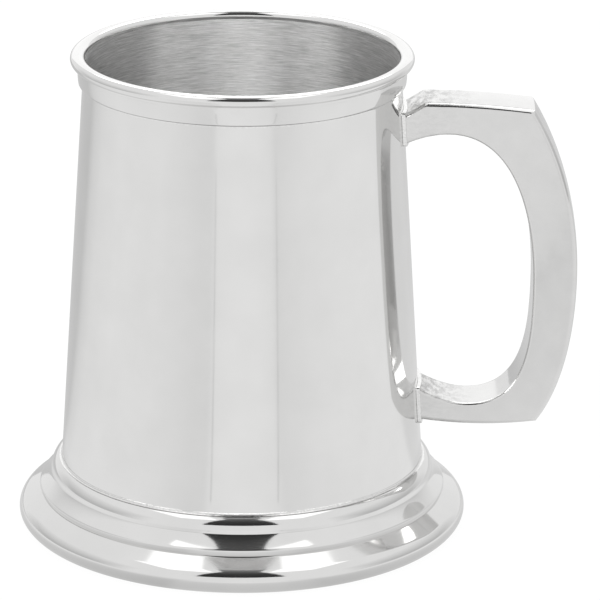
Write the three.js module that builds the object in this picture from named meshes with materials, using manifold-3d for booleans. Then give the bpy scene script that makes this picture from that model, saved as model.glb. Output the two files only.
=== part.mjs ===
// A one-pint pewter tankard: a tapered drum standing in a moulded foot, a rolled lip
// on its mouth, and a cast handle held on by solder.
//
// Millimetres, +Z up in the exported group. Every piece is turned or drawn about the
// drum's axis with Y up, and one parent group stands them upright.
import * as THREE from "three";
import { mergeVertices } from "three/addons/utils/BufferGeometryUtils.js";
import Module from "manifold-3d";

const wasm = await Module();
wasm.setup();

// ---- driving dimensions -------------------------------------------------------------

const HEIGHT = 120; // table to the top of the lip
const DRUM_FOOT_RADIUS = 44.89; // outside of the drum where it enters the foot
const DRUM_MOUTH_RADIUS = 38.9; // outside of the drum where it enters the collar
const FOOT_SPREAD = 10.76; // the foot's flange beyond the drum
const WALL = 1.3; // drum wall, thinner at the mouth where it is turned true to the lip
const SEAM = 0.3; // clear gap in every soldered seam

// mouth rim
const LIP_WIDTH = 3.66;
const LIP_THICKNESS = 2.9;
const LIP_STANDOUT = 3.3; // from the drum's outside to the lip's edge
const COLLAR_HEIGHT = 4.8; // below the lip, round the outside of the drum
const COLLAR_STANDOUT = 1.0; // from the drum's outside to the collar's face
const RIM_SEAT_DEPTH = 2; // the drum's top edge below the top of the lip, up inside it
const LIP_UNDERCUT = 0.15; // small step where the collar runs up under the lip
const LIP_UNDER_ANGLE = 1.18; // how far the lip's round curls under, in radians

// foot ring
const FOOT_TOP = 16.6; // upper edge of the foot, against the drum
const FOOT_TOP_LAND = 0.15; // narrow flat round that edge
const ROUND_FOOT = 12.95; // lowest line of the full round under that edge
const ROUND_STANDOUT = 2.5; // from the drum's outside to the fullest line of the round
const ROUND_TURN = 1.13; // how much of a quarter the round makes, in radians
const ROUND_STEP = 0.1; // small step in from the round to the hollow band
const BAND_HOLLOW = { out: 0.18, down: 0.31 }; // control point of the band's hollow curve
const BAND_EDGE_HEIGHT = 9.5; // middle of the small round at the band's foot
const BAND_EDGE_ROUND = 0.6;
const CREASE_HEIGHT = 8.7; // where the band stands on the flange
const CREASE_INSET = 5.2; // from the flange's edge in to the band's edge
const CREASE_STEP = { in: 0.15, down: 0.4 };
const FLANGE_WIDTH = 8.76; // full width of the flange's oval section
const FLANGE_THICKNESS = 7.24; // full height of the oval, part of it below the flat
const FLANGE_CENTRE = 3.29; // middle of the oval above the table
const FLANGE_TOP_ANGLE = 0.97; // where the oval runs into the slope above it, in radians
const SKIRT_INSIDE_INSET = 6.05; // from the flange's edge in to the inside of the resting flat
const SKIRT_DRAFT = 1.6; // how far the inside leans in as it rises
const SEAT_HEIGHT = 8.7; // top of the inner ledge that carries drum and floor
const SEAT_THICKNESS = 1.5;
const SEAT_WIDTH = 3.9; // from the drum's outside in to the ledge's edge

// floor
const FLOOR_THICKNESS = 1.5;

// handle
const HANDLE_WIDTH = 14;
const HANDLE_DROP = 10.8; // top of the upper arm below the top of the lip
const HANDLE_RISE = 26.05; // underside of the lower arm above the table
const GRIP_STANDOUT = 40.6; // from the drum to the outside of the grip
const GRIP_THICKNESS = 10.97;
const GRIP_HEIGHT_DROP = 54.7; // the grip's outermost line below the top of the lip
const FINGER_DROP = 57; // the finger space's widest line below the top of the lip
const UPPER_ARM_LENGTH = 31.8; // from the drum to the upper corner
const UPPER_CORNER_DROP = 1.7; // that corner below the top of the arm
const UPPER_ARM_DEPTH = 8.1; // through the arm at the top of the finger space
const UPPER_ARCH = 10.75; // from the drum to the top of the finger space
const SHOULDER = 5; // length of the slope that clears the lip
const SHOULDER_DROP = 3;
const UPPER_JOINT_HEIGHT = 7.5;
const LOWER_ARM_LENGTH = 28.8;
const LOWER_CORNER_RISE = 0.9;
const LOWER_ARM_DEPTH = 5.8;
const LOWER_ARCH = 11.55; // from the drum to the lowest point of the finger space
const LOWER_JOINT_RISE = 1.3;
const LOWER_JOINT_HEIGHT = 8.4;
const HANDLE_EDGE = 1.2; // rounding of the long edges
const ARM_INSET = 4; // how far each arm runs inside the drum's line before it is trimmed

// Fullness of the handle's curves: how far each control point lies along its own run.
const BACK = { cornerOut: 0.66, cornerDown: 0.285, above: 0.355, below: 0.4, heelOut: 0.68, heelUp: 0.22 };
const INSIDE = { archOut: 0.78, above: 0.435, below: 0.495, sillOut: 0.93, arm: 0.45 };

// solder
const SOLDER_THICKNESS = 0.9; // between handle and drum
const SOLDER_BEAD = 0.5; // how far it stands out round the joint
const SEAM_FILLET = 0.6; // rings of solder at rim and foot
const SEAM_FEATHER = 0.12; // thickness left where such a ring thins out along the drum
const FLOOR_FILLET = 1.5; // ring of solder inside, round the floor

const AROUND = 64; // facets round the axis
const SMALL_ROUND_STEPS = 4; // facets along a small fillet or edge rounding
const LIP_STEPS = 12; // over the top of the lip
const FLANGE_STEPS = 6; // along each half of the foot's flange
const HOLLOW_STEPS = 6; // down the foot's round, and its hollow band
const HANDLE_CURVE_STEPS = 10; // along each curve of the handle's side view
const HANDLE_EDGE_STEPS = 2;
const WELD_DISTANCE = 1e-5; // vertices closer than this are one
const QUARTER = Math.PI / 2;

// ---- shared geometry ----------------------------------------------------------------

const footRadius = DRUM_FOOT_RADIUS + FOOT_SPREAD;
const collarFoot = HEIGHT - LIP_THICKNESS - COLLAR_HEIGHT + LIP_UNDERCUT;

// Outside radius of the drum's straight taper at a given height.
function drumOutside(height) {
  const share = (height - FOOT_TOP) / (collarFoot - FOOT_TOP);
  return THREE.MathUtils.lerp(DRUM_FOOT_RADIUS, DRUM_MOUTH_RADIUS, share);
}

// The lip's inner edge, which the drum's mouth is turned to match.
const lipHeight = HEIGHT - LIP_THICKNESS / 2;
const mouthInside = drumOutside(lipHeight) + LIP_STANDOUT - LIP_WIDTH;

// Inside radius of the drum: its taper, opened out to the lip's inner edge at the mouth.
function drumInside(height) {
  return Math.max(drumOutside(height) - WALL, mouthInside);
}

// Points on an ellipse from one angle to another, in radians.
function ellipseArc(centreX, centreY, radiusX, radiusY, from, to, steps) {
  const points = [];
  for (let i = 0; i <= steps; i += 1) {
    const angle = THREE.MathUtils.lerp(from, to, i / steps);
    points.push([centreX + radiusX * Math.cos(angle), centreY + radiusY * Math.sin(angle)]);
  }
  return points;
}

function quadratic(start, control, end, steps) {
  const curve = new THREE.QuadraticBezierCurve(
    new THREE.Vector2(...start),
    new THREE.Vector2(...control),
    new THREE.Vector2(...end),
  );
  return curve.getPoints(steps).map((point) => [point.x, point.y]);
}

// Turns an open list of [radius, height] points, given anticlockwise, into a solid ring.
function turnedRing(outline) {
  const points = outline.map(([radius, height]) => new THREE.Vector2(radius, height));
  points.push(points[0].clone());
  return new THREE.LatheGeometry(points, AROUND);
}

function pewter(colour, roughness) {
  return new THREE.MeshStandardMaterial({ color: colour, roughness, metalness: 1 });
}

function piece(name, geometry, material) {
  const mesh = new THREE.Mesh(geometry, material);
  mesh.name = name;
  return mesh;
}

// ---- booleans -----------------------------------------------------------------------

function toSolid(geometry) {
  const bare = geometry.clone();
  bare.deleteAttribute("normal");
  bare.deleteAttribute("uv");
  const merged = mergeVertices(bare, WELD_DISTANCE);
  return new wasm.Manifold(new wasm.Mesh({
    numProp: 3,
    vertProperties: new Float32Array(merged.attributes.position.array),
    triVerts: new Uint32Array(merged.index.array),
  }));
}

function toGeometry(solid) {
  const mesh = solid.getMesh();
  const geometry = new THREE.BufferGeometry();
  geometry.setAttribute("position", new THREE.BufferAttribute(mesh.vertProperties, mesh.numProp));
  geometry.setIndex(new THREE.BufferAttribute(mesh.triVerts, 1));
  geometry.computeVertexNormals();
  return geometry;
}

// The drum's taper as a solid plug, grown outwards, to trim what is fitted against it.
function drumPlug(growth) {
  const outline = [
    [0, 0],
    [drumOutside(0) + growth, 0],
    [drumOutside(HEIGHT) + growth, HEIGHT],
    [0, HEIGHT],
  ];
  return toSolid(new THREE.LatheGeometry(
    outline.map(([radius, height]) => new THREE.Vector2(radius, height)),
    AROUND,
  ));
}

// ---- drum and floor -----------------------------------------------------------------

const drumFoot = SEAT_HEIGHT + SEAM;
const drumTop = HEIGHT - RIM_SEAT_DEPTH;
const floorTop = drumFoot + FLOOR_THICKNESS;

function drumGeometry() {
  const taper = (drumOutside(0) - drumOutside(HEIGHT)) / HEIGHT;
  const mouthFoot = (drumOutside(0) - WALL - mouthInside) / taper;
  return turnedRing([
    [drumInside(drumFoot), drumFoot],
    [drumOutside(drumFoot), drumFoot],
    [drumOutside(drumTop), drumTop],
    [drumInside(drumTop), drumTop],
    [mouthInside, mouthFoot],
  ]);
}

function floorGeometry() {
  const radius = drumInside(floorTop) - SEAM;
  return new THREE.CylinderGeometry(radius, radius, FLOOR_THICKNESS, AROUND)
    .translate(0, drumFoot + FLOOR_THICKNESS / 2, 0);
}

// ---- mouth rim ----------------------------------------------------------------------

function rimGeometry() {
  const lipHalf = LIP_THICKNESS / 2;
  const lipCentre = mouthInside + LIP_WIDTH / 2;
  const lip = [
    ...ellipseArc(
      lipCentre, lipHeight, LIP_WIDTH / 2, lipHalf, -LIP_UNDER_ANGLE, 0, SMALL_ROUND_STEPS,
    ),
    ...ellipseArc(lipCentre, lipHeight, LIP_WIDTH / 2, lipHalf, 0, Math.PI, LIP_STEPS).slice(1),
  ];
  const collarFace = drumOutside(collarFoot) + COLLAR_STANDOUT;
  const collarRound = COLLAR_STANDOUT - SEAM;
  const collarTop = collarFoot + COLLAR_HEIGHT;
  const seat = drumTop + SEAM;
  return turnedRing([
    [drumInside(seat), seat],
    [drumOutside(seat) + SEAM, seat],
    [drumOutside(collarFoot) + SEAM, collarFoot],
    ...ellipseArc(
      collarFace - collarRound, collarFoot + collarRound, collarRound, collarRound, -QUARTER, 0,
      SMALL_ROUND_STEPS,
    ).slice(1),
    [collarFace, collarTop - collarRound],
    [collarFace + LIP_UNDERCUT, collarTop],
    ...lip,
  ]);
}

// ---- foot ring ----------------------------------------------------------------------

function footGeometry() {
  const boreTop = drumOutside(FOOT_TOP) + SEAM;
  const boreFoot = drumOutside(SEAT_HEIGHT) + SEAM;
  const seatEdge = drumOutside(SEAT_HEIGHT) - SEAT_WIDTH;
  const roundTop = boreTop + FOOT_TOP_LAND;
  const roundEdge = drumOutside(ROUND_FOOT) + ROUND_STANDOUT;
  const roundWidth = (roundEdge - roundTop) / (1 - Math.cos(ROUND_TURN));
  const roundHeight = (FOOT_TOP - ROUND_FOOT) / Math.sin(ROUND_TURN);
  const bandEdge = footRadius - CREASE_INSET;
  const bandTop = { x: roundEdge - ROUND_STEP, y: ROUND_FOOT - ROUND_STEP };
  const edgeRound = ellipseArc(
    bandEdge - BAND_EDGE_ROUND, BAND_EDGE_HEIGHT, BAND_EDGE_ROUND, BAND_EDGE_ROUND, 0, QUARTER / 2,
    SMALL_ROUND_STEPS,
  );
  const [bandFootX, bandFootY] = edgeRound[edgeRound.length - 1];
  const flangeHalfWidth = FLANGE_WIDTH / 2;
  const flangeHalfHeight = FLANGE_THICKNESS / 2;
  const flangeCentre = footRadius - flangeHalfWidth;
  const flatAngle = Math.asin(-FLANGE_CENTRE / flangeHalfHeight);
  const restInside = footRadius - SKIRT_INSIDE_INSET;
  const flange = [
    ...ellipseArc(
      flangeCentre, FLANGE_CENTRE, flangeHalfWidth, flangeHalfHeight, flatAngle, 0, FLANGE_STEPS,
    ),
    ...ellipseArc(
      flangeCentre, FLANGE_CENTRE, flangeHalfWidth, flangeHalfHeight, 0, FLANGE_TOP_ANGLE,
      FLANGE_STEPS,
    ).slice(1),
  ];
  const seatUnder = SEAT_HEIGHT - SEAT_THICKNESS;
  const band = quadratic(
    [bandFootX, bandFootY],
    [
      bandTop.x + (bandFootX - bandTop.x) * BAND_HOLLOW.out,
      bandTop.y - (bandTop.y - bandFootY) * BAND_HOLLOW.down,
    ],
    [bandTop.x, bandTop.y],
    HOLLOW_STEPS,
  );
  return turnedRing([
    [seatEdge, seatUnder],
    [restInside - SKIRT_DRAFT, seatUnder],
    [restInside, 0],
    ...flange,
    [bandEdge - CREASE_STEP.in, CREASE_HEIGHT - CREASE_STEP.down],
    [bandEdge, CREASE_HEIGHT],
    ...edgeRound,
    ...band.slice(1),
    ...ellipseArc(
      roundEdge - roundWidth, ROUND_FOOT, roundWidth, roundHeight, 0, ROUND_TURN, HOLLOW_STEPS,
    ),
    [boreTop, FOOT_TOP],
    [boreFoot, SEAT_HEIGHT],
    [seatEdge, SEAT_HEIGHT],
  ]);
}

// ---- handle -------------------------------------------------------------------------

const handleTop = HEIGHT - HANDLE_DROP;
const gripHeight = HEIGHT - GRIP_HEIGHT_DROP;
const fingerHeight = HEIGHT - FINGER_DROP;
const gripOutside = drumOutside(gripHeight) + GRIP_STANDOUT;
const upperJoint = {
  top: handleTop - SHOULDER_DROP,
  bottom: handleTop - SHOULDER_DROP - UPPER_JOINT_HEIGHT,
};
const lowerJoint = {
  top: HANDLE_RISE + LOWER_JOINT_RISE + LOWER_JOINT_HEIGHT,
  bottom: HANDLE_RISE + LOWER_JOINT_RISE,
};

// Side view of the handle, in the plane through the drum's axis. Both arms start inside
// the drum's line and are trimmed to it afterwards.
function handleShape() {
  const upperWall = drumOutside(upperJoint.top);
  const lowerWall = drumOutside(lowerJoint.bottom);
  const shoulder = { x: upperWall + SHOULDER, y: handleTop };
  const corner = { x: upperWall + UPPER_ARM_LENGTH, y: handleTop - UPPER_CORNER_DROP };
  const heel = { x: lowerWall + LOWER_ARM_LENGTH, y: HANDLE_RISE + LOWER_CORNER_RISE };
  const arch = { x: upperWall + UPPER_ARCH, y: handleTop - UPPER_ARM_DEPTH };
  const sill = { x: lowerWall + LOWER_ARCH, y: HANDLE_RISE + LOWER_ARM_DEPTH };
  const gripInside = gripOutside - GRIP_THICKNESS;
  const shape = new THREE.Shape();

  // along the top of the upper arm
  shape.moveTo(upperWall - ARM_INSET, upperJoint.top - SHOULDER_DROP * ARM_INSET / SHOULDER);
  shape.lineTo(upperWall, upperJoint.top);
  shape.lineTo(shoulder.x, shoulder.y);
  shape.quadraticCurveTo((shoulder.x + corner.x) / 2, handleTop, corner.x, corner.y);

  // down the back of the grip
  shape.bezierCurveTo(
    corner.x + (gripOutside - corner.x) * BACK.cornerOut,
    corner.y - (corner.y - gripHeight) * BACK.cornerDown,
    gripOutside, gripHeight + (corner.y - gripHeight) * BACK.above,
    gripOutside, gripHeight,
  );
  shape.bezierCurveTo(
    gripOutside, gripHeight - (gripHeight - heel.y) * BACK.below,
    heel.x + (gripOutside - heel.x) * BACK.heelOut,
    heel.y + (gripHeight - heel.y) * BACK.heelUp,
    heel.x, heel.y,
  );

  // along the underside of the lower arm and back over its top
  shape.quadraticCurveTo(
    (heel.x + lowerWall) / 2, HANDLE_RISE - LOWER_CORNER_RISE, lowerWall, lowerJoint.bottom,
  );
  shape.lineTo(lowerWall - ARM_INSET, lowerJoint.bottom);
  shape.lineTo(lowerWall - ARM_INSET, lowerJoint.top);
  shape.lineTo(lowerWall - SEAM, lowerJoint.top);
  shape.quadraticCurveTo(sill.x - LOWER_ARCH * INSIDE.arm, sill.y, sill.x, sill.y);

  // up the inside of the grip and back under the upper arm
  shape.bezierCurveTo(
    sill.x + (gripInside - sill.x) * INSIDE.sillOut, sill.y,
    gripInside, fingerHeight - (fingerHeight - sill.y) * INSIDE.below,
    gripInside, fingerHeight,
  );
  shape.bezierCurveTo(
    gripInside, fingerHeight + (arch.y - fingerHeight) * INSIDE.above,
    arch.x + (gripInside - arch.x) * INSIDE.archOut, arch.y,
    arch.x, arch.y,
  );
  shape.quadraticCurveTo(arch.x - UPPER_ARCH * INSIDE.arm, arch.y, upperWall, upperJoint.bottom);
  shape.lineTo(upperWall - ARM_INSET, upperJoint.bottom);
  shape.closePath();
  return shape;
}

function handleGeometry() {
  const blank = new THREE.ExtrudeGeometry(handleShape(), {
    depth: HANDLE_WIDTH - 2 * HANDLE_EDGE,
    curveSegments: HANDLE_CURVE_STEPS,
    bevelEnabled: true,
    bevelThickness: HANDLE_EDGE,
    bevelSize: HANDLE_EDGE,
    bevelOffset: -HANDLE_EDGE,
    bevelSegments: HANDLE_EDGE_STEPS,
  }).translate(0, 0, HANDLE_EDGE - HANDLE_WIDTH / 2);
  return toGeometry(toSolid(blank).subtract(drumPlug(2 * SEAM + SOLDER_THICKNESS)));
}

// ---- solder -------------------------------------------------------------------------

// The bead round one end of the handle: a rounded pad lying against the drum's curve.
function handleSolderGeometry(joint) {
  const halfWidth = HANDLE_WIDTH / 2 + SOLDER_BEAD;
  const low = joint.bottom - SOLDER_BEAD;
  const high = joint.top + SOLDER_BEAD;
  const corner = HANDLE_EDGE + SOLDER_BEAD;
  const shape = new THREE.Shape();
  shape.moveTo(corner - halfWidth, low);
  shape.lineTo(halfWidth - corner, low);
  shape.absarc(halfWidth - corner, low + corner, corner, -QUARTER, 0);
  shape.lineTo(halfWidth, high - corner);
  shape.absarc(halfWidth - corner, high - corner, corner, 0, QUARTER);
  shape.lineTo(corner - halfWidth, high);
  shape.absarc(corner - halfWidth, high - corner, corner, QUARTER, Math.PI);
  shape.lineTo(-halfWidth, low + corner);
  shape.absarc(corner - halfWidth, low + corner, corner, Math.PI, 3 * QUARTER);
  const pad = new THREE.ExtrudeGeometry(shape, {
    depth: footRadius,
    curveSegments: SMALL_ROUND_STEPS,
    bevelEnabled: false,
  }).rotateY(QUARTER);
  const shell = drumPlug(SEAM + SOLDER_THICKNESS).subtract(drumPlug(SEAM));
  return toGeometry(toSolid(pad).intersect(shell));
}

// A ring of solder with a hollow face, in the corner between the drum's outside and an edge.
function outerSeamGeometry(edge, direction) {
  const far = edge + direction * SEAM_FILLET;
  const inner = Math.max(drumOutside(edge), drumOutside(far)) + SEAM;
  const outline = [
    [inner, far],
    ...quadratic(
      [inner + SEAM_FEATHER, far], [inner, edge], [inner + SEAM_FILLET, edge], SMALL_ROUND_STEPS,
    ),
    [inner, edge],
  ];
  return turnedRing(direction > 0 ? outline.reverse() : outline);
}

function floorSeamGeometry() {
  const low = floorTop + SEAM;
  const high = low + FLOOR_FILLET;
  const outer = drumInside(high) - SEAM;
  return turnedRing([
    [outer, low],
    [outer, high],
    ...quadratic(
      [outer - SEAM, high], [outer - SEAM, low + SEAM], [outer - FLOOR_FILLET, low + SEAM],
      SMALL_ROUND_STEPS,
    ),
    [outer - FLOOR_FILLET, low],
  ]);
}

// ---- assembly -----------------------------------------------------------------------

const polished = pewter(0xc9c9c7, 0.12);
const brushed = pewter(0xb4b3b0, 0.34);
const soldered = pewter(0xbfbfbc, 0.2);

const upright = new THREE.Group();
upright.rotation.x = QUARTER;
upright.add(
  piece("body_drum", drumGeometry(), polished),
  piece("body_floor", floorGeometry(), brushed),
  piece("mouth_rim", rimGeometry(), polished),
  piece("foot_ring", footGeometry(), polished),
  piece("handle", handleGeometry(), polished),
  piece("upper_handle_solder", handleSolderGeometry(upperJoint), soldered),
  piece("lower_handle_solder", handleSolderGeometry(lowerJoint), soldered),
  piece("rim_solder", outerSeamGeometry(collarFoot - SEAM, -1), soldered),
  piece("foot_solder", outerSeamGeometry(FOOT_TOP + SEAM, 1), soldered),
  piece("floor_solder", floorSeamGeometry(), soldered),
);

// The origin is on the table, at the middle of the tankard's length from foot to grip.
upright.position.x = (footRadius - gripOutside) / 2;

const tankard = new THREE.Group();
tankard.name = "tankard";
tankard.add(upright);

export default tankard;
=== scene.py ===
import math

import bmesh
import bpy
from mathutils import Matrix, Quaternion, Vector


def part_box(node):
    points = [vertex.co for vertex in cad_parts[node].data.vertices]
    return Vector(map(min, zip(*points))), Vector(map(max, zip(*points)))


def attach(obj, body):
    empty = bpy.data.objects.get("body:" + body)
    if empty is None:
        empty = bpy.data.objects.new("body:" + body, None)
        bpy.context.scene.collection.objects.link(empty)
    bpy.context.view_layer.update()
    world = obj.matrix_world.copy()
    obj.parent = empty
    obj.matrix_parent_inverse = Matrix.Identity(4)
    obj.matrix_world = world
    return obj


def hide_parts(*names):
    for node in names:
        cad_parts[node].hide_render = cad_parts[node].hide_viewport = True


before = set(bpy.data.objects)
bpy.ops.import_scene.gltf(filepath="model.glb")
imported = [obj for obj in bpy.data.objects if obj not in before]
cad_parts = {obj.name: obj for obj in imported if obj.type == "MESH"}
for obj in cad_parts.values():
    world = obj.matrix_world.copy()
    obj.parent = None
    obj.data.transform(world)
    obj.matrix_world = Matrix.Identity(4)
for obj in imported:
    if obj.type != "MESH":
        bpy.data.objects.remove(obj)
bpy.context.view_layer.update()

# A one-pint pewter tankard: a burnished drum in a moulded foot, a rolled lip on its mouth
# and a cast handle, soldered together. Lengths in this file are metres; MM makes them
# readable where a piece is drawn.
MM = 0.001
FULL_TURN = math.tau
QUARTER = math.pi / 2
AROUND = 288  # facets round a turned piece
SHARP_EDGE = 0.6  # faces meeting at more than this, in radians, keep a crisp edge

# ---- sizes --------------------------------------------------------------------------------

foot_low, foot_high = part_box("foot_ring")
rim_low, rim_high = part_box("mouth_rim")
drum_low, drum_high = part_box("body_drum")
floor_low, floor_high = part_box("body_floor")
handle_low, handle_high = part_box("handle")

AXIS_X = (foot_low.x + foot_high.x) / 2  # the drum's upright axis
FOOT_RADIUS = (foot_high.x - foot_low.x) / 2
FOOT_TOP = foot_high.z
HEIGHT = rim_high.z
COLLAR_FOOT = rim_low.z
LIP_RADIUS = (rim_high.x - rim_low.x) / 2
DRUM_FOOT = drum_low.z
DRUM_TOP = drum_high.z
DRUM_FOOT_RADIUS = (drum_high.x - drum_low.x) / 2
FLOOR_TOP = floor_high.z

WALL = 1.3 * MM
TAPER = 0.06247  # the drum narrows by this share of its rise
TOUCH = 0.02 * MM  # soldered pieces lie this close

LIP_WIDTH = 3.66 * MM
LIP_THICKNESS = 2.9 * MM
LIP_UNDER_ANGLE = 1.18  # how far the lip's round curls under, in radians
LIP_UNDERCUT = 0.15 * MM
COLLAR_HEIGHT = 4.8 * MM
COLLAR_STANDOUT = 1.0 * MM
COLLAR_ROUND = 0.55 * MM
COLLAR_BULGE = 0.12 * MM  # the collar's face is very slightly full

FOOT_TOP_LAND = 0.45 * MM
ROUND_FOOT = 12.95 * MM  # the full round under the foot's upper edge
ROUND_STANDOUT = 2.5 * MM
ROUND_TURN = 1.13  # how much of a quarter that round makes, in radians
ROUND_STEP = 0.1 * MM
BAND_HOLLOW_OUT = 0.18
BAND_HOLLOW_DOWN = 0.31
BAND_EDGE_HEIGHT = 9.5 * MM
BAND_EDGE_ROUND = 0.6 * MM
CREASE_HEIGHT = 8.7 * MM
CREASE_INSET = 5.2 * MM
CREASE_STEP_IN = 0.15 * MM
CREASE_STEP_DOWN = 0.4 * MM
FLANGE_WIDTH = 8.76 * MM
FLANGE_THICKNESS = 7.24 * MM
FLANGE_CENTRE = 3.29 * MM
FLANGE_TOP_ANGLE = 0.97
SKIRT_INSIDE_INSET = 6.05 * MM
SKIRT_DRAFT = 1.6 * MM
SEAT_HEIGHT = 8.7 * MM
SEAT_THICKNESS = 1.5 * MM
SEAT_WIDTH = 3.9 * MM

SOLDER_THICKNESS = 0.95 * MM
SOLDER_BEAD = 0.5 * MM
SEAM_FILLET = 0.6 * MM
SEAM_FEATHER = 0.05 * MM
FLOOR_FILLET = 1.5 * MM


def drum_outside(height):
    """Outside radius of the drum's straight taper."""
    return DRUM_FOOT_RADIUS - TAPER * (height - DRUM_FOOT)


MOUTH_INSIDE = LIP_RADIUS - LIP_WIDTH
MOUTH_FOOT = DRUM_FOOT + (DRUM_FOOT_RADIUS - WALL - MOUTH_INSIDE) / TAPER


def drum_inside(height):
    """Inside radius: the taper, opened out at the mouth to the lip's inner edge."""
    return max(drum_outside(height) - WALL, MOUTH_INSIDE)


# ---- drawing ------------------------------------------------------------------------------

def arc(centre, radii, start, end, steps):
    """Points along an upright ellipse, from one angle to another in radians."""
    angles = [start + (end - start) * i / steps for i in range(steps + 1)]
    return [(centre[0] + radii[0] * math.cos(a), centre[1] + radii[1] * math.sin(a)) for a in angles]


def bezier(start, first, second, end, steps):
    """Points along a cubic curve, both ends included."""
    points = []
    for i in range(steps + 1):
        t = i / steps
        weights = ((1 - t) ** 3, 3 * t * (1 - t) ** 2, 3 * t * t * (1 - t), t ** 3)
        points.append(tuple(
            sum(w * p[axis] for w, p in zip(weights, (start, first, second, end)))
            for axis in (0, 1)
        ))
    return points


def sweep(start, control, end, steps):
    """Points along a curve with a single control point."""
    first = tuple(s + (c - s) * 2 / 3 for s, c in zip(start, control))
    second = tuple(e + (c - e) * 2 / 3 for e, c in zip(end, control))
    return bezier(start, first, second, end, steps)


def straight(start, end, steps):
    return [tuple(s + (e - s) * i / steps for s, e in zip(start, end)) for i in range(steps + 1)]


def turned(outline, closed=True):
    """Turns an outline of (radius, height) points about the drum's axis."""
    bm = bmesh.new()
    corners = [bm.verts.new((AXIS_X + radius, 0, height)) for radius, height in outline]
    followers = corners[1:] + corners[:1] if closed else corners[1:]
    edges = [bm.edges.new(pair) for pair in zip(corners, followers)]
    bmesh.ops.spin(
        bm, geom=corners + edges, cent=(AXIS_X, 0, 0), axis=(0, 0, 1), angle=FULL_TURN,
        steps=AROUND, use_merge=True, use_duplicate=False,
    )
    bmesh.ops.remove_doubles(bm, verts=bm.verts, dist=0.001 * MM)
    bmesh.ops.recalc_face_normals(bm, faces=bm.faces)
    return bm


def round_off(bm, edges, size, segments):
    return bmesh.ops.bevel(
        bm, geom=edges, offset=size, offset_type="OFFSET", segments=segments, profile=0.5,
        affect="EDGES", material=-1, clamp_overlap=True,
    )


def finish_piece(bm, name, materials):
    """Makes the piece that stands for the CAD node of the same name."""
    mesh = bpy.data.meshes.new(name)
    for face in bm.faces:
        face.smooth = True
    for edge in bm.edges:
        if edge.is_manifold and edge.calc_face_angle() > SHARP_EDGE:
            edge.smooth = False
    bm.to_mesh(mesh)
    bm.free()
    for material in materials:
        mesh.materials.append(material)
    piece = bpy.data.objects.new(name + "_metal", mesh)
    bpy.context.collection.objects.link(piece)
    flats = piece.modifiers.new("true flats", "WEIGHTED_NORMAL")
    flats.mode = "FACE_AREA"
    flats.weight = 50
    flats.keep_sharp = True
    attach(piece, "root")
    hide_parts(name)
    return piece


# ---- metals -------------------------------------------------------------------------------

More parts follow.
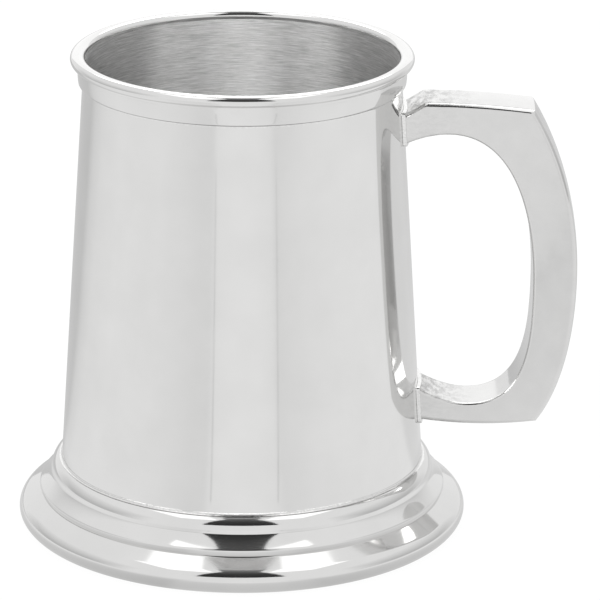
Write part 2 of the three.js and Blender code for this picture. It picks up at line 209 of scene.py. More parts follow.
class Finish:
    """A metal's node tree, with short calls for the nodes that it is made of."""

    def __init__(self, name, colour, roughness, shine=0.0):
        self.material = bpy.data.materials.new(name)
        self.material.use_nodes = True
        self.tree = self.material.node_tree
        self.shader = self.tree.nodes["Principled BSDF"]
        self.shader.inputs["Base Color"].default_value = (*colour, 1)
        self.shader.inputs["Metallic"].default_value = 1
        self.shader.inputs["Roughness"].default_value = roughness
        self.shader.inputs["Anisotropic"].default_value = shine
        self.place = self.tree.nodes.new("ShaderNodeTexCoord").outputs["Object"]

    def node(self, kind, **settings):
        node = self.tree.nodes.new(kind)
        for key, value in settings.items():
            setattr(node, key, value)
        return node

    def link(self, output, socket):
        self.tree.links.new(output, socket)

    def maths(self, operation, first, second=0.0):
        node = self.node("ShaderNodeMath", operation=operation)
        for socket, value in zip(node.inputs, (first, second)):
            if isinstance(value, (int, float)):
                socket.default_value = value
            else:
                self.link(value, socket)
        return node.outputs[0]

    def mapping(self, source, centre=(0, 0, 0), scale=(1, 1, 1)):
        node = self.node("ShaderNodeMapping", vector_type="POINT")
        node.inputs["Location"].default_value = tuple(-c * s for c, s in zip(centre, scale))
        node.inputs["Scale"].default_value = scale
        self.link(source, node.inputs["Vector"])
        return node.outputs[0]

    def noise(self, source, scale, detail=2.0, roughness=0.5):
        node = self.node("ShaderNodeTexNoise")
        node.inputs["Scale"].default_value = scale
        node.inputs["Detail"].default_value = detail
        node.inputs["Roughness"].default_value = roughness
        self.link(source, node.inputs["Vector"])
        return node.outputs["Fac"]

    def spread(self, value, low, high, start=0.0, end=1.0):
        """Maps a value between low and high onto start to end."""
        node = self.node("ShaderNodeMapRange")
        for key, number in (("From Min", low), ("From Max", high), ("To Min", start), ("To Max", end)):
            node.inputs[key].default_value = number
        self.link(value, node.inputs["Value"])
        return node.outputs[0]

    def turned_place(self, along, across):
        """Where a point lies on turned work: long features round it, fine ones across."""
        centred = self.mapping(self.place, centre=(AXIS_X, 0, 0))
        split = self.node("ShaderNodeSeparateXYZ")
        self.link(centred, split.inputs[0])
        x, y, z = split.outputs
        squares = [self.maths("MULTIPLY", side, side) for side in (x, y)]
        radius = self.maths("SQRT", self.maths("ADD", *squares))
        radius = self.maths("MAXIMUM", radius, 0.1 * MM)
        join = self.node("ShaderNodeCombineXYZ")
        self.link(self.maths("MULTIPLY", self.maths("DIVIDE", x, radius), along), join.inputs[0])
        self.link(self.maths("MULTIPLY", self.maths("DIVIDE", y, radius), along), join.inputs[1])
        self.link(self.maths("MULTIPLY", self.maths("SUBTRACT", z, radius), across), join.inputs[2])
        return join.outputs[0]

    def turned_grain(self):
        """Lays the shader's stretch round the drum's axis, as turning and burnishing do."""
        centred = self.mapping(self.place, centre=(AXIS_X, 0, 0))
        node = self.node("ShaderNodeVectorMath", operation="CROSS_PRODUCT")
        node.inputs[0].default_value = (0, 0, 1)
        self.link(centred, node.inputs[1])
        straightened = self.node("ShaderNodeVectorMath", operation="NORMALIZE")
        self.link(node.outputs[0], straightened.inputs[0])
        self.link(straightened.outputs[0], self.shader.inputs["Tangent"])

    def shade(self, value, dark, light):
        """Colours the metal between two tones."""
        node = self.node("ShaderNodeMix", data_type="RGBA")
        self.link(value, node.inputs["Factor"])
        node.inputs["A"].default_value = (*dark, 1)
        node.inputs["B"].default_value = (*light, 1)
        self.link(node.outputs["Result"], self.shader.inputs["Base Color"])

    def rough(self, value, low, high, start, end):
        self.link(self.spread(value, low, high, start, end), self.shader.inputs["Roughness"])

    def relief(self, *layers):
        """Adds relief from (value, depth in metres) layers."""
        normal = None
        for value, depth in layers:
            bump = self.node("ShaderNodeBump")
            bump.inputs["Strength"].default_value = 1
            bump.inputs["Distance"].default_value = depth
            self.link(value, bump.inputs["Height"])
            if normal is not None:
                self.link(normal, bump.inputs["Normal"])
            normal = bump.outputs[0]
        self.link(normal, self.shader.inputs["Normal"])


def grey(level):
    return (level, level * 0.997, level * 0.99)


def polished_pewter(name, level, roughness):
    """Burnished on the lathe: bright, with hairlines round the work and faint hand marks."""
    metal = Finish(name, grey(level), roughness)
    hairline_place = metal.turned_place(along=3.0, across=4200)
    hairlines = metal.noise(hairline_place, 1.0, detail=3)
    handled = metal.noise(metal.place, 90, detail=4)
    waves = metal.noise(metal.turned_place(along=2.0, across=110), 1.0, detail=1)
    metal.shade(metal.spread(handled, 0.3, 0.7), grey(level * 0.975), grey(level * 1.015))
    metal.rough(handled, 0.3, 0.75, roughness * 0.85, roughness * 1.3)
    metal.relief((waves, 0.004 * MM), (hairlines, 0.0004 * MM))
    return metal.material


def brushed_pewter(name, level, roughness):
    """Left with its turning marks: satin, with fine rings."""
    metal = Finish(name, grey(level), roughness, shine=0.9)
    metal.shader.inputs["Anisotropic Rotation"].default_value = 0.25  # scatters across the rings
    metal.turned_grain()
    rings = metal.noise(metal.turned_place(along=7.0, across=4500), 1.0, detail=5, roughness=0.75)
    scores = metal.noise(metal.turned_place(along=5.0, across=700), 1.0, detail=3)
    worn = metal.noise(metal.place, 60, detail=3)
    metal.shade(metal.spread(rings, 0.36, 0.64), grey(level * 0.68), grey(level * 1.2))
    metal.rough(worn, 0.3, 0.7, roughness * 0.85, roughness * 1.2)
    metal.relief((rings, 0.006 * MM), (scores, 0.006 * MM))
    return metal.material


UNREACHED = 46 * MM  # out to here from the drum's axis a polishing wheel cannot reach the handle
REACHED = 58 * MM  # and from here on it can


def cast_pewter(name, level, roughness):
    """Cast, filed and hand polished: flats that are never quite flat, and faint file marks."""
    metal = Finish(name, grey(level), roughness)
    dips = metal.noise(metal.place, 130, detail=2)
    filed = metal.noise(metal.mapping(metal.place, scale=(700, 160, 700)), 1.0, detail=3)
    handled = metal.noise(metal.place, 220, detail=4)
    split = metal.node("ShaderNodeSeparateXYZ")
    metal.link(metal.place, split.inputs[0])
    cramped = metal.spread(split.outputs["X"], AXIS_X + UNREACHED, AXIS_X + REACHED, 1.0, 0.0)
    scale_marks = metal.noise(metal.mapping(metal.place, scale=(500, 300, 900)), 1.0, detail=4, roughness=0.7)
    facing = metal.node("ShaderNodeSeparateXYZ")
    metal.link(metal.node("ShaderNodeTexCoord").outputs["Normal"], facing.inputs[0])
    level_face = metal.spread(metal.maths("ABSOLUTE", facing.outputs["Z"]), 0.3, 0.8, 0.12, 1.0)
    reach = metal.maths("MULTIPLY", cramped, level_face)
    marked = metal.maths("MULTIPLY", reach, metal.spread(scale_marks, 0.42, 0.6))
    tone = metal.maths("SUBTRACT", metal.spread(handled, 0.3, 0.7, 0.9, 1.0), marked)
    metal.shade(tone, grey(level * 0.6), grey(level * 1.02))
    wear = metal.spread(handled, 0.3, 0.75, 0.8, 1.4)
    dullness = metal.maths("ADD", wear, metal.maths("MULTIPLY", marked, 1.6))
    metal.link(metal.maths("MULTIPLY", dullness, roughness), metal.shader.inputs["Roughness"])
    metal.relief((dips, 0.03 * MM), (filed, 0.0012 * MM), (marked, 0.02 * MM))
    return metal.material


def solder_metal(name, level, roughness):
    """Flowed solder: smooth, softly lumpy and a little brighter than the metal it joins."""
    metal = Finish(name, grey(level), roughness)
    lumps = metal.noise(metal.place, 420, detail=2)
    pits = metal.noise(metal.place, 2500, detail=2)
    metal.shade(metal.spread(pits, 0.35, 0.65), grey(level * 0.9), grey(level * 1.05))
    metal.rough(lumps, 0.3, 0.7, roughness * 0.8, roughness * 1.3)
    metal.relief((lumps, 0.06 * MM), (pits, 0.004 * MM))
    return metal.material


POLISHED = polished_pewter("polished_pewter", 0.745, 0.07)
BRUSHED = brushed_pewter("brushed_pewter", 0.56, 0.5)
CAST = cast_pewter("cast_pewter", 0.69, 0.1)
SOLDER = solder_metal("solder", 0.78, 0.16)


# ---- drum, floor and their solder ----------------------------------------------------------

def make_drum():
    """A tapered tube, burnished outside and left satin inside."""
    outside = straight((drum_outside(DRUM_FOOT), DRUM_FOOT), (drum_outside(DRUM_TOP), DRUM_TOP), 24)
    blend_foot = 2 * MOUTH_FOOT - DRUM_TOP
    mouth = sweep(
        (MOUTH_INSIDE, DRUM_TOP), (MOUTH_INSIDE, MOUTH_FOOT), (drum_inside(blend_foot), blend_foot), 16,
    )
    inside = straight((drum_inside(blend_foot), blend_foot), (drum_inside(DRUM_FOOT), DRUM_FOOT), 20)[1:]
    bm = turned(outside + mouth + inside)
    for face in bm.faces:
        middle = face.calc_center_median()
        radius = math.hypot(middle.x - AXIS_X, middle.y)
        face.material_index = 0 if radius > drum_outside(middle.z) - WALL / 4 else 1
    return finish_piece(bm, "body_drum", [POLISHED, BRUSHED])


def make_floor():
    """A disc that is very slightly dished, with a turned centre."""
    radius = drum_inside(FLOOR_TOP) - TOUCH
    dish = 0.35 * MM
    edge = 0.3 * MM
    top = sweep((0, FLOOR_TOP - dish), (radius / 2, FLOOR_TOP - dish), (radius - edge, FLOOR_TOP), 24)
    rounding = arc((radius - edge, FLOOR_TOP - edge), (edge, edge), QUARTER, 0, 4)[1:]
    under = straight((radius, floor_low.z), (0, floor_low.z), 12)
    disc = turned(top + rounding + under, closed=False)
    return finish_piece(disc, "body_floor", [BRUSHED])


def make_floor_solder():
    outer = drum_inside(FLOOR_TOP + FLOOR_FILLET) - TOUCH
    low = FLOOR_TOP + TOUCH
    high = low + FLOOR_FILLET
    hollow = sweep(
        (outer - SEAM_FEATHER, high), (outer - SEAM_FEATHER, low + SEAM_FEATHER),
        (outer - FLOOR_FILLET, low + SEAM_FEATHER), 10,
    )
    outline = [(outer, low), (outer, high), *hollow, (outer - FLOOR_FILLET, low)]
    return finish_piece(turned(outline), "floor_solder", [SOLDER])


# ---- mouth rim ------------------------------------------------------------------------------

def make_rim():
    """The rolled lip with the collar that runs down round the drum."""
    half = LIP_THICKNESS / 2
    lip_height = HEIGHT - half
    lip_centre = LIP_RADIUS - LIP_WIDTH / 2
    lip = arc((lip_centre, lip_height), (LIP_WIDTH / 2, half), -LIP_UNDER_ANGLE, math.pi, 40)
    lip += straight((MOUTH_INSIDE, lip_height), (MOUTH_INSIDE, DRUM_TOP + TOUCH), 5)[1:-1]
    face = drum_outside(COLLAR_FOOT) + COLLAR_STANDOUT
    collar_top = COLLAR_FOOT + COLLAR_HEIGHT
    foot_round = arc(
        (face - COLLAR_ROUND, COLLAR_FOOT + COLLAR_ROUND), (COLLAR_ROUND, COLLAR_ROUND), -QUARTER, 0, 6,
    )
    collar = sweep(
        (face, COLLAR_FOOT + COLLAR_ROUND),
        (face + 2 * COLLAR_BULGE, COLLAR_FOOT + COLLAR_HEIGHT / 2),
        (face, collar_top - COLLAR_ROUND), 12,
    )[1:]
    undercut = sweep(
        (face, collar_top - COLLAR_ROUND), (face, collar_top - LIP_UNDERCUT),
        (face + LIP_UNDERCUT, collar_top), 4,
    )[1:]
    seat = DRUM_TOP + TOUCH
    outline = [
        (drum_inside(seat), seat),
        (drum_outside(seat) + TOUCH, seat),
        (drum_outside(COLLAR_FOOT) + TOUCH, COLLAR_FOOT),
        *foot_round, *collar, *undercut, *lip,
    ]
    bm = turned(outline)
    for face in bm.faces:
        middle = face.calc_center_median()
        radius = math.hypot(middle.x - AXIS_X, middle.y)
        inside = radius < MOUTH_INSIDE + 0.1 * MM and middle.z < lip_height
        face.material_index = 1 if inside else 0
    return finish_piece(bm, "mouth_rim", [POLISHED, BRUSHED])


# ---- foot ring ------------------------------------------------------------------------------

def make_foot():
    """The moulded foot: a full round, a hollow band and a rounded flange."""
    bore_top = drum_outside(FOOT_TOP) + TOUCH
    bore_foot = drum_outside(SEAT_HEIGHT) + TOUCH
    seat_edge = drum_outside(SEAT_HEIGHT) - SEAT_WIDTH
    round_top = drum_outside(FOOT_TOP) + FOOT_TOP_LAND
    round_edge = drum_outside(ROUND_FOOT) + ROUND_STANDOUT
    round_width = (round_edge - round_top) / (1 - math.cos(ROUND_TURN))
    round_height = (FOOT_TOP - ROUND_FOOT) / math.sin(ROUND_TURN)
    band_edge = FOOT_RADIUS - CREASE_INSET
    half_width = FLANGE_WIDTH / 2
    half_height = FLANGE_THICKNESS / 2
    flange_centre = (FOOT_RADIUS - half_width, FLANGE_CENTRE)
    flat_angle = math.asin(-FLANGE_CENTRE / half_height)
    rest_inside = FOOT_RADIUS - SKIRT_INSIDE_INSET
    seat_under = SEAT_HEIGHT - SEAT_THICKNESS
    flange = arc(flange_centre, (half_width, half_height), flat_angle, 0, 20)
    flange += arc(flange_centre, (half_width, half_height), 0, FLANGE_TOP_ANGLE, 20)[1:]
    crease_foot = (band_edge - CREASE_STEP_IN, CREASE_HEIGHT - CREASE_STEP_DOWN)
    to_crease = straight(flange[-1], crease_foot, 5)[1:]
    edge_round = arc(
        (band_edge - BAND_EDGE_ROUND, BAND_EDGE_HEIGHT), (BAND_EDGE_ROUND, BAND_EDGE_ROUND),
        0, QUARTER / 2, 8,
    )
    band_foot = edge_round[-1]
    band_top = (round_edge - ROUND_STEP, ROUND_FOOT - ROUND_STEP)
    hollow = (
        band_top[0] + (band_foot[0] - band_top[0]) * BAND_HOLLOW_OUT,
        band_top[1] - (band_top[1] - band_foot[1]) * BAND_HOLLOW_DOWN,
    )
    band = sweep(band_foot, hollow, band_top, 20)[1:]
    full_round = arc(
        (round_edge - round_width, ROUND_FOOT), (round_width, round_height), 0, ROUND_TURN, 16,
    )
    outline = [
        (seat_edge, seat_under),
        *straight((rest_inside - SKIRT_DRAFT, seat_under), (rest_inside, 0), 4),
        *flange, *to_crease, (band_edge, CREASE_HEIGHT), *edge_round, *band, *full_round,
        (bore_top, FOOT_TOP),
        (bore_foot, SEAT_HEIGHT),
        (seat_edge, SEAT_HEIGHT),
    ]
    return finish_piece(turned(outline), "foot_ring", [POLISHED])


def make_outer_seam(name, edge, direction):
    """A hollow ring of solder in the corner between the drum and the rim or foot."""
    far = edge + direction * SEAM_FILLET
    near = drum_outside(edge) + TOUCH
    away = drum_outside(far) + TOUCH
    hollow = sweep((away + SEAM_FEATHER, far), (near, edge), (near + SEAM_FILLET, edge), 8)
    outline = [(away, far), *hollow, (near, edge)]
    return finish_piece(turned(outline), name, [SOLDER])


# ---- handle ---------------------------------------------------------------------------------

HANDLE_TOP = handle_high.z
HANDLE_FOOT = handle_low.z
HANDLE_HALF_WIDTH = (handle_high.y - handle_low.y) / 2
GRIP_OUTSIDE = handle_high.x - AXIS_X
GRIP_THICKNESS = 10.97 * MM
GRIP_HEIGHT = HEIGHT - 54.7 * MM
FINGER_HEIGHT = HEIGHT - 57 * MM
UPPER_ARM_LENGTH = 31.8 * MM
UPPER_CORNER_DROP = 1.7 * MM
UPPER_ARM_DEPTH = 8.1 * MM
UPPER_ARCH = 10.75 * MM
SHOULDER = 5 * MM
SHOULDER_DROP = 3 * MM
UPPER_JOINT_TOP = HANDLE_TOP - SHOULDER_DROP
UPPER_JOINT_FOOT = UPPER_JOINT_TOP - 7.5 * MM
LOWER_ARM_LENGTH = 28.8 * MM
LOWER_CORNER_RISE = 0.9 * MM
LOWER_ARM_DEPTH = 5.8 * MM
LOWER_ARCH = 11.55 * MM
LOWER_JOINT_FOOT = HANDLE_FOOT + 1.2 * MM
LOWER_JOINT_TOP = LOWER_JOINT_FOOT + 8.4 * MM
ARM_FULLNESS = 0.45

# Fullness of the handle's curves: how far each control point lies along its own run.
BACK = {
    "corner_out": 0.66, "corner_down": 0.285, "above": 0.355, "below": 0.4,
    "heel_out": 0.68, "heel_up": 0.22,
}
INSIDE = {"arch_out": 0.78, "above": 0.435, "below": 0.495, "sill_out": 0.93}

OUTER_ROUND = 2.6 * MM
INNER_ROUND = 0.7 * MM
CROWN = 0.3 * MM  # how much lower the outer face lies at its edges than in the middle
ARM_END = 0.4 * MM  # the handle's ends from the drum, inside the solder


def handle_back():
    """The outer line: over the upper arm, down the grip and back under the lower arm."""
    upper_wall = drum_outside(UPPER_JOINT_TOP)
    lower_wall = drum_outside(LOWER_JOINT_FOOT)
    shoulder = (upper_wall + SHOULDER, HANDLE_TOP)
    corner = (upper_wall + UPPER_ARM_LENGTH, HANDLE_TOP - UPPER_CORNER_DROP)
    heel = (lower_wall + LOWER_ARM_LENGTH, HANDLE_FOOT + LOWER_CORNER_RISE)
    grip = (GRIP_OUTSIDE, GRIP_HEIGHT)
    slope = straight((upper_wall, UPPER_JOINT_TOP), shoulder, 6)
    top = sweep(shoulder, ((shoulder[0] + corner[0]) / 2, HANDLE_TOP), corner, 24)
    upper_back = bezier(
        corner,
        (
            corner[0] + (GRIP_OUTSIDE - corner[0]) * BACK["corner_out"],
            corner[1] - (corner[1] - GRIP_HEIGHT) * BACK["corner_down"],
        ),
        (GRIP_OUTSIDE, GRIP_HEIGHT + (corner[1] - GRIP_HEIGHT) * BACK["above"]),
        grip, 40,
    )
    lower_back = bezier(
        grip,
        (GRIP_OUTSIDE, GRIP_HEIGHT - (GRIP_HEIGHT - heel[1]) * BACK["below"]),
        (
            heel[0] + (GRIP_OUTSIDE - heel[0]) * BACK["heel_out"],
            heel[1] + (GRIP_HEIGHT - heel[1]) * BACK["heel_up"],
        ),
        heel, 40,
    )
    under = sweep(
        heel, ((heel[0] + lower_wall) / 2, HANDLE_FOOT - LOWER_CORNER_RISE),
        (lower_wall, LOWER_JOINT_FOOT), 28,
    )
    return slope + top[1:] + upper_back[1:] + lower_back[1:] + under[1:]


def handle_inside():
    """The inner line: along the lower arm, up round the finger space and back to the drum."""
    upper_wall = drum_outside(UPPER_JOINT_TOP)
    lower_wall = drum_outside(LOWER_JOINT_FOOT)
    grip_inside = GRIP_OUTSIDE - GRIP_THICKNESS
    arch = (upper_wall + UPPER_ARCH, HANDLE_TOP - UPPER_ARM_DEPTH)
    sill = (lower_wall + LOWER_ARCH, HANDLE_FOOT + LOWER_ARM_DEPTH)
    start = (drum_outside(LOWER_JOINT_TOP), LOWER_JOINT_TOP)
    lower_arm = sweep(start, (sill[0] - LOWER_ARCH * ARM_FULLNESS, sill[1]), sill, 16)
    lower_grip = bezier(
        sill,
        (sill[0] + (grip_inside - sill[0]) * INSIDE["sill_out"], sill[1]),
        (grip_inside, FINGER_HEIGHT - (FINGER_HEIGHT - sill[1]) * INSIDE["below"]),
        (grip_inside, FINGER_HEIGHT), 40,
    )
    upper_grip = bezier(
        (grip_inside, FINGER_HEIGHT),
        (grip_inside, FINGER_HEIGHT + (arch[1] - FINGER_HEIGHT) * INSIDE["above"]),
        (arch[0] + (grip_inside - arch[0]) * INSIDE["arch_out"], arch[1]),
        arch, 40,
    )
    upper_arm = sweep(
        arch, (arch[0] - UPPER_ARCH * ARM_FULLNESS, arch[1]),
        (drum_outside(UPPER_JOINT_FOOT), UPPER_JOINT_FOOT), 16,
    )
    return lower_arm + lower_grip[1:] + upper_grip[1:] + upper_arm[1:]


def drum_surface(y, height, gap):
    """How far along X the drum's surface lies, at this distance from the middle line."""
    return AXIS_X + math.sqrt((drum_outside(height) + gap) ** 2 - y * y)


def make_handle():
    """The side view pulled across the width, crowned outside and rounded along its edges."""
    back = handle_back()
    inside = handle_inside()
    slices = 12
    bm = bmesh.new()
    is_back = bm.verts.layers.int.new("back")
    row = []
    for number, (out, height) in enumerate(back + inside):
        vert = bm.verts.new((AXIS_X + out, -HANDLE_HALF_WIDTH, height))
        vert[is_back] = 1 if number < len(back) else 0
        row.append(vert)
    edges = [bm.edges.new(pair) for pair in zip(row, row[1:] + row[:1])]
    first_edges = list(edges)
    for _ in range(slices):
        grown = bmesh.ops.extrude_edge_only(bm, edges=edges)["geom"]
        moved = [item for item in grown if isinstance(item, bmesh.types.BMVert)]
        edges = [item for item in grown if isinstance(item, bmesh.types.BMEdge)]
        bmesh.ops.translate(bm, verts=moved, vec=(0, 2 * HANDLE_HALF_WIDTH / slices, 0))
    bmesh.ops.contextual_create(bm, geom=first_edges)
    bmesh.ops.contextual_create(bm, geom=edges)
    bmesh.ops.recalc_face_normals(bm, faces=bm.faces)
    bm.normal_update()

    # crown the outer face: it falls away towards both edges
    drops = []
    for vert in bm.verts:
        if vert[is_back]:
            skin = [face.normal for face in vert.link_faces if abs(face.normal.y) < 0.5]
            outward = sum(skin, Vector()).normalized()
            drops.append((vert, outward * CROWN * (vert.co.y / HANDLE_HALF_WIDTH) ** 2))
    for vert, drop in drops:
        vert.co -= drop

    # round the long edges, broadly outside and finely inside
    def side_edges(of_back):
        found = []
        for edge in bm.edges:
            at_side = sum(abs(face.normal.y) > 0.9 for face in edge.link_faces) == 1
            if at_side and all(vert[is_back] == of_back for vert in edge.verts):
                found.append(edge)
        return found

    round_off(bm, side_edges(1), OUTER_ROUND, 8)
    bm.normal_update()
    round_off(bm, side_edges(0), INNER_ROUND, 4)

    # fit both ends to the drum's curve
    for vert in bm.verts:
        surface = drum_surface(vert.co.y, vert.co.z, 0)
        if vert.co.x < surface + ARM_END:
            vert.co.x = surface + ARM_END
    bmesh.ops.remove_doubles(bm, verts=bm.verts, dist=0.005 * MM)
    bmesh.ops.recalc_face_normals(bm, faces=bm.faces)
    bmesh.ops.triangulate(bm, faces=[face for face in bm.faces if len(face.verts) > 4])
    return finish_piece(bm, "handle", [CAST])


def make_handle_solder(name, foot, top):
    """The pad of solder between one end of the handle and the drum."""
    half_width = HANDLE_HALF_WIDTH + SOLDER_BEAD
    half_height = (top - foot) / 2 + SOLDER_BEAD
    middle = (top + foot) / 2
    bm = bmesh.new()
    bmesh.ops.create_grid(bm, x_segments=10, y_segments=24, size=0.5)
    for vert in bm.verts:
        vert.co = Vector((0, vert.co.y * 2 * half_width, middle - vert.co.x * 2 * half_height))
    grown = bmesh.ops.extrude_face_region(bm, geom=list(bm.faces))["geom"]
    outer = [item for item in grown if isinstance(item, bmesh.types.BMVert)]
    bmesh.ops.translate(bm, verts=outer, vec=(SOLDER_THICKNESS, 0, 0))
    bmesh.ops.recalc_face_normals(bm, faces=bm.faces)
    bm.normal_update()
    corners = [
        edge for edge in bm.edges
        if edge.is_manifold and edge.calc_face_angle() > 1
        and abs(edge.verts[0].co.x - edge.verts[1].co.x) > SOLDER_THICKNESS / 2
    ]
    round_off(bm, corners, 1.6 * MM, 8)
    bm.normal_update()
    rim = [
        edge for edge in bm.edges
        if edge.is_manifold and edge.calc_face_angle() > 1
        and abs(edge.verts[0].co.x - edge.verts[1].co.x) < SOLDER_THICKNESS / 10
    ]
    round_off(bm, rim, 0.42 * MM, 5)
    for vert in bm.verts:
        vert.co.x += drum_surface(vert.co.y, vert.co.z, TOUCH)
    return finish_piece(bm, name, [SOLDER])


drum = make_drum()
floor = make_floor()
make_floor_solder()
make_rim()
make_foot()
make_outer_seam("rim_solder", COLLAR_FOOT - TOUCH, -1)
make_outer_seam("foot_solder", FOOT_TOP + TOUCH, 1)
make_handle()
make_handle_solder("upper_handle_solder", UPPER_JOINT_FOOT, UPPER_JOINT_TOP)
make_handle_solder("lower_handle_solder", LOWER_JOINT_FOOT, LOWER_JOINT_TOP)


# ---- studio ---------------------------------------------------------------------------------

SHADE_WIDTH = 28 * MM  # the table is shaded this far out from the foot
SHADE_AT_FOOT = 0.74  # its share of full brightness right beside the foot


class Card:
    """A flat studio card: seen by the metal, but not by the camera or the floor."""

    def __init__(self, name, corners):
        bm = bmesh.new()
        verts = [bm.verts.new(corner) for corner in corners]
        bmesh.ops.contextual_create(bm, geom=verts)
        mesh = bpy.data.meshes.new(name)
        bm.to_mesh(mesh)
        bm.free()
        self.material = bpy.data.materials.new(name)
        self.material.use_nodes = True
        self.tree = self.material.node_tree
        self.shader = self.tree.nodes["Principled BSDF"]
        self.shader.inputs["Base Color"].default_value = (0, 0, 0, 1)
        self.shader.inputs["Roughness"].default_value = 1
        self.shader.inputs["Specular IOR Level"].default_value = 0
        self.shader.inputs["Emission Color"].default_value = (1, 1, 1, 1)
        mesh.materials.append(self.material)
        piece = bpy.data.objects.new(name, mesh)
        bpy.context.collection.objects.link(piece)
        piece.visible_camera = False
        piece.visible_diffuse = False
        piece.visible_shadow = False

    def node(self, kind, operation=None):
        node = self.tree.nodes.new(kind)
        if operation is not None:
            node.operation = operation
        return node

    def place(self):
        return self.node("ShaderNodeTexCoord").outputs["Object"]

    def height(self):
        split = self.node("ShaderNodeSeparateXYZ")
        self.tree.links.new(self.place(), split.inputs[0])
        return split.outputs["Z"]

    def from_axis(self):
        centred = self.node("ShaderNodeVectorMath", "SUBTRACT")
        centred.inputs[1].default_value = (AXIS_X, 0, 0)
        self.tree.links.new(self.place(), centred.inputs[0])
        return centred.outputs[0]

    def direction(self):
        """Angle round the tankard in radians, 0 in front."""
        split = self.node("ShaderNodeSeparateXYZ")
        ahead = self.node("ShaderNodeMath", "MULTIPLY")
        ahead.inputs[1].default_value = -1
        turn = self.node("ShaderNodeMath", "ARCTAN2")
        self.tree.links.new(self.from_axis(), split.inputs[0])
        self.tree.links.new(split.outputs["Y"], ahead.inputs[0])
        self.tree.links.new(split.outputs["X"], turn.inputs[0])
        self.tree.links.new(ahead.outputs[0], turn.inputs[1])
        return turn.outputs[0]

    def tone(self, value, levels):
        """A brightness that runs through (value, brightness) pairs."""
        low, high = levels[0][0], levels[-1][0]
        share = self.node("ShaderNodeMapRange")
        share.inputs["From Min"].default_value = low
        share.inputs["From Max"].default_value = high
        blend = self.node("ShaderNodeValToRGB")
        stops = blend.color_ramp.elements
        stops.remove(stops[1])
        for number, (place, level) in enumerate(levels):
            stop = stops[0] if number == 0 else stops.new((place - low) / (high - low))
            stop.position = (place - low) / (high - low)
            stop.color = (level, level, level, 1)
        self.tree.links.new(value, share.inputs["Value"])
        self.tree.links.new(share.outputs[0], blend.inputs["Fac"])
        return blend.outputs["Color"]

    def pair(self, operation, first, second):
        node = self.node("ShaderNodeMath", operation)
        self.tree.links.new(first, node.inputs[0])
        if isinstance(second, (int, float)):
            node.inputs[1].default_value = second
        else:
            self.tree.links.new(second, node.inputs[1])
        return node.outputs[0]

    def glow(self, brightness):
        self.tree.links.new(brightness, self.shader.inputs["Emission Strength"])

    def even(self, radiance):
        self.shader.inputs["Emission Strength"].default_value = radiance

    def by_height(self, levels, strongest=1.0):
        """Brightness from (height, share of the strongest radiance) pairs."""
        self.glow(self.pair("MULTIPLY", self.tone(self.height(), levels), strongest))

    def by_direction(self, levels):
        """Brightness from (degrees, radiance) pairs, dimmer close to the foot."""
        distance = self.node("ShaderNodeVectorMath", "LENGTH")
        self.tree.links.new(self.from_axis(), distance.inputs[0])
        shadow = self.node("ShaderNodeMapRange")
        shadow.inputs["From Min"].default_value = FOOT_RADIUS
        shadow.inputs["From Max"].default_value = FOOT_RADIUS + SHADE_WIDTH
        shadow.inputs["To Min"].default_value = SHADE_AT_FOOT
        self.tree.links.new(distance.outputs["Value"], shadow.inputs["Value"])
        angles = [(math.radians(angle), level) for angle, level in levels]
        self.glow(self.pair("MULTIPLY", self.tone(self.direction(), angles), shadow.outputs[0]))

    def faded(self, heights, directions):
        """The brighter of a brightness by height and one by direction, so that the ends fade out."""
        angles = [(math.radians(angle), level) for angle, level in directions]
        by_height = self.tone(self.height(), heights)
        self.glow(self.pair("MAXIMUM", by_height, self.tone(self.direction(), angles)))


def floor_strip(name, near, far, width, radiance):
    """A thin strip on the floor between two (angle, distance) places; it widens as it goes away."""
    ends = []
    for angle, distance in (near, far):
        turn = math.radians(angle)
        out = Vector((math.sin(turn), -math.cos(turn), 0))
        side = Vector((math.cos(turn), math.sin(turn), 0)) * width * distance / 2
        middle = Vector((AXIS_X, 0, 0.8 * MM)) + out * distance
        ends.append((middle - side, middle + side))
    (a, b), (c, d) = ends
    Card(name, [a, b, d, c]).even(radiance)


# How bright the table round the tankard looks in its sides: angle in degrees, brightness.
TABLE_LIGHT = [
    (-180, 0.66), (-150, 0.64), (-131, 0.66), (-123, 0.81), (-112, 0.90), (-90, 0.955), (-56, 0.945),
    (-38, 0.90), (-27, 0.865), (-19, 0.86), (-16, 0.95), (-5, 0.975), (10, 0.97), (19, 0.94),
    (23, 0.87), (30, 0.893), (42, 0.93), (70, 0.968), (100, 0.965), (107, 0.95), (112, 0.83),
    (140, 0.80), (160, 0.7), (180, 0.66),
]


def make_table_light():
    reach = 2.2
    left, right = AXIS_X - reach, AXIS_X + reach
    corners = [(left, -reach), (right, -reach), (right, reach), (left, reach)]
    Card("table_light", [(x, y, 0.5 * MM) for x, y in corners]).by_direction(TABLE_LIGHT)


def make_front_opening():
    """The dark opening high in front, narrowing and fading out overhead."""
    low, high, top = 0.70, 1.5, 1.56
    near, far, back = -0.95, -0.3, 0.3
    wide, narrow = 0.42, 0.15
    opening = Card("front_opening", [
        (AXIS_X - wide, near, low), (AXIS_X + wide, near, low),
        (AXIS_X + narrow, far, high), (AXIS_X - narrow, far, high),
    ])
    opening.by_height([(low, 0.03), (1.1, 0.05), (high, 0.12)])
    hood = Card("front_hood", [
        (AXIS_X - narrow, far, high), (AXIS_X + narrow, far, high),
        (AXIS_X + narrow, back, top), (AXIS_X - narrow, back, top),
    ])
    hood.by_height([(high, 0.12), (1.53, 0.23), (top, 0.4)])


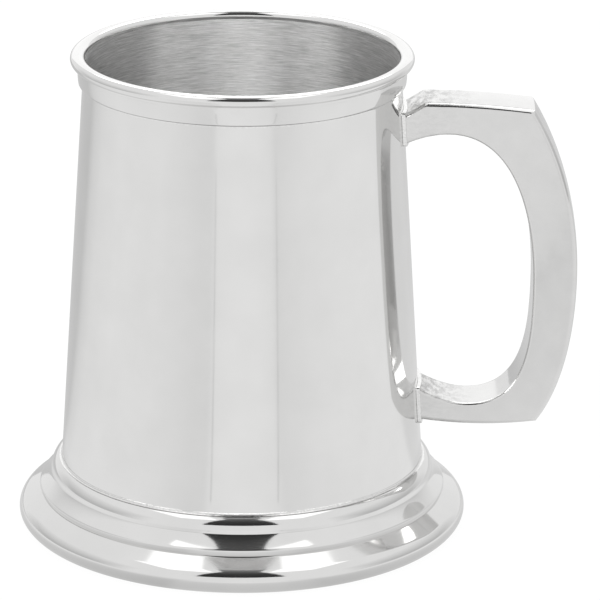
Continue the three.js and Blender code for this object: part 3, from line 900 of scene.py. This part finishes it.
def make_back_light():
    """A light behind, reaching high enough to shine over the far lip into the cup."""
    behind = 0.6
    half, low, high = 0.3, 0.16, 1.1
    back = Card("back_light", [
        (AXIS_X - half, behind, low), (AXIS_X + half, behind, low),
        (AXIS_X + half, behind, high), (AXIS_X - half, behind, high),
    ])
    back.by_height([(low, 0.35), (0.5, 0.36), (0.55, 1.0), (high, 1.0)], strongest=3.4)


def make_cup_light(name, angle, width, power, lit):
    """A soft panel above the tankard that lights only the inside of the cup; 0 degrees is in front."""
    data = bpy.data.lights.new(name, "AREA")
    data.shape = "RECTANGLE"
    data.size = width
    data.size_y = 0.25
    data.energy = power
    panel = bpy.data.objects.new(name, data)
    turn = math.radians(angle)
    away = 0.8
    panel.location = (AXIS_X + away * math.sin(turn), -away * math.cos(turn), HEIGHT + 0.36)
    facing = Vector((AXIS_X, 0, HEIGHT)) - panel.location
    panel.rotation_mode = "QUATERNION"
    panel.rotation_quaternion = facing.to_track_quat("-Z", "Y")
    panel.visible_camera = False
    bpy.context.collection.objects.link(panel)
    panel.light_linking.receiver_collection = lit


def make_side_lights():
    """Bright ceiling panels on either side of the hood."""
    near, far, height = -0.45, 0.35, 1.5
    for side in (-1, 1):
        inner, outer = AXIS_X + side * 0.24, AXIS_X + side * 0.7
        name = "left_ceiling" if side < 0 else "right_ceiling"
        Card(name, [
            (inner, near, height), (outer, near, height), (outer, far, height), (inner, far, height),
        ]).even(1.5)


def make_side_walls():
    """Greyer walls to left and right, fading at their ends, which shade the foot and the lip."""
    reach, front, back, low, high = 0.9, -0.7, 1.2, 0.02, 0.7
    heights = [(low, 0.55), (0.3, 0.75), (high, 0.95)]
    for side in (-1, 1):
        x = AXIS_X + side * reach
        name = "left_wall" if side < 0 else "right_wall"
        wall = Card(name, [(x, front, low), (x, back, low), (x, back, high), (x, front, high)])
        ends = [(54, 0.95), (84, 0.55), (110, 0.55), (142, 0.95)]
        if side < 0:
            ends = [(-angle, level) for angle, level in reversed(ends)]
        wall.faded(heights, ends)


def make_floor_sheet():
    """A large pale sheet that the tankard stands on."""
    reach = 6.0
    bm = bmesh.new()
    bmesh.ops.create_grid(bm, x_segments=8, y_segments=8, size=reach)
    mesh = bpy.data.meshes.new("pale_floor")
    bm.to_mesh(mesh)
    bm.free()
    material = bpy.data.materials.new("pale_floor")
    material.use_nodes = True
    shader = material.node_tree.nodes["Principled BSDF"]
    shader.inputs["Base Color"].default_value = (0.12, 0.12, 0.12, 1)
    shader.inputs["Roughness"].default_value = 1
    shader.inputs["Specular IOR Level"].default_value = 0
    shader.inputs["Emission Color"].default_value = (1, 1, 1, 1)
    shader.inputs["Emission Strength"].default_value = 0.92
    mesh.materials.append(material)
    sheet = bpy.data.objects.new("pale_floor", mesh)
    bpy.context.collection.objects.link(sheet)


def make_world():
    world = bpy.data.worlds.new("studio")
    world.use_nodes = True
    background = world.node_tree.nodes["Background"]
    background.inputs["Color"].default_value = (1, 1, 1, 1)
    background.inputs["Strength"].default_value = 0.95
    bpy.context.scene.world = world


CAMERA_PLACE = (AXIS_X + 14.3 * MM, -1.013, 0.395)
CAMERA_LENS = 259.26  # a long lens, in millimetres
CAMERA_PITCH = math.radians(71.52)  # 90 degrees would be level
CAMERA_ROLL = 0.0058  # in radians


def make_camera():
    camera = bpy.data.cameras.new("camera")
    camera.lens = CAMERA_LENS
    camera.sensor_width = 36
    view = bpy.data.objects.new("camera", camera)
    view.location = CAMERA_PLACE
    view.rotation_mode = "QUATERNION"
    tilted = Quaternion((1, 0, 0), CAMERA_PITCH)
    view.rotation_quaternion = tilted @ Quaternion((0, 0, 1), CAMERA_ROLL)
    bpy.context.collection.objects.link(view)
    bpy.context.scene.camera = view


make_floor_sheet()
make_world()
make_camera()
make_table_light()
make_front_opening()
make_back_light()
make_side_lights()
make_side_walls()
cup = bpy.data.collections.new("cup")
cup.objects.link(drum)
cup.objects.link(floor)
make_cup_light("cup_light", 0, 0.9, 5.6, cup)
make_cup_light("cup_light_left", -58, 0.6, 2.7, cup)
make_cup_light("cup_light_right", 55, 0.6, 2.2, cup)
make_cup_light("cup_accent", -3, 0.08, 0.6, cup)
floor_strip("left_fold", (-15, 0.12), (-16.7, 0.62), 0.012, 0.7)
floor_strip("right_fold", (19.2, 0.12), (23.4, 0.62), 0.012, 0.7)

bpy.context.scene.view_settings.view_transform = "Standard"
